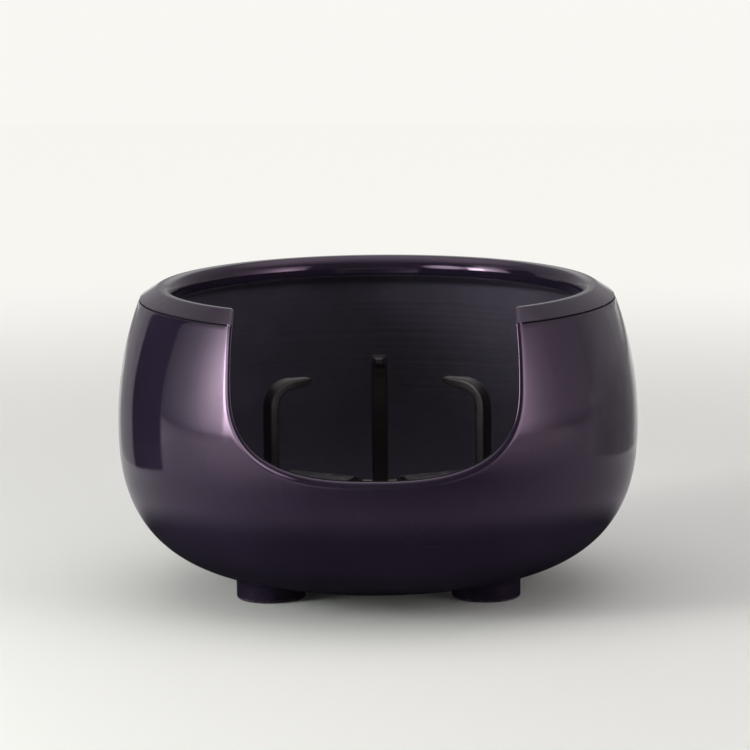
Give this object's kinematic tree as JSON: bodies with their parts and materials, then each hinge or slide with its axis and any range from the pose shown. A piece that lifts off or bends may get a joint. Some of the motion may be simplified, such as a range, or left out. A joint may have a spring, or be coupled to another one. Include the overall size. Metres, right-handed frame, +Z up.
{
  "type": "furo brazier",
  "caption": "Round polished black clay charcoal brazier on low feet, with a U-shaped front opening through its rim, an ash bed, charcoals and a lift-out iron trivet.",
  "frame": {"origin": "on the bowl's axis at the surface that the feet stand on", "axes": "+Z up along the bowl's axis, -Y out of the fire opening at the front, +X to the right seen from the front"},
  "size_m": [0.335, 0.3348, 0.197],
  "materials": {
    "black_clay": "gloss",
    "lining_paper": "matte",
    "earthenware": "matte",
    "ash": "matte",
    "forged_iron": "satin",
    "charcoal": "matte"
  },
  "bodies": {
    "brazier": {"body_shell": "black_clay", "front_left_foot": "black_clay", "front_right_foot": "black_clay", "rear_foot": "black_clay", "lining_paper": "lining_paper", "floor_tile": "earthenware", "ash_bed": "ash"},
    "trivet": {"trivet_ring": "forged_iron", "trivet_left_leg": "forged_iron", "trivet_right_leg": "forged_iron", "trivet_rear_leg": "forged_iron"},
    "front_tile": {"front_tile": "earthenware"},
    "front_charcoal": {"front_charcoal": "charcoal"},
    "left_charcoal": {"left_charcoal": "charcoal"},
    "right_charcoal": {"right_charcoal": "charcoal"}
  },
  "joints": [
    {"name": "trivet_lift", "type": "slide", "parent": "brazier", "child": "trivet", "axis": [0, 0, 1], "range_m": [0, 0.18]},
    {"name": "front_tile_lift", "type": "slide", "parent": "brazier", "child": "front_tile", "axis": [0, 0, 1], "range_m": [0, 0.18]},
    {"name": "front_charcoal_lift", "type": "slide", "parent": "brazier", "child": "front_charcoal", "axis": [0, 0, 1], "range_m": [0, 0.18]},
    {"name": "left_charcoal_lift", "type": "slide", "parent": "brazier", "child": "left_charcoal", "axis": [0, 0, 1], "range_m": [0, 0.18]},
    {"name": "right_charcoal_lift", "type": "slide", "parent": "brazier", "child": "right_charcoal", "axis": [0, 0, 1], "range_m": [0, 0.18]}
  ]
}
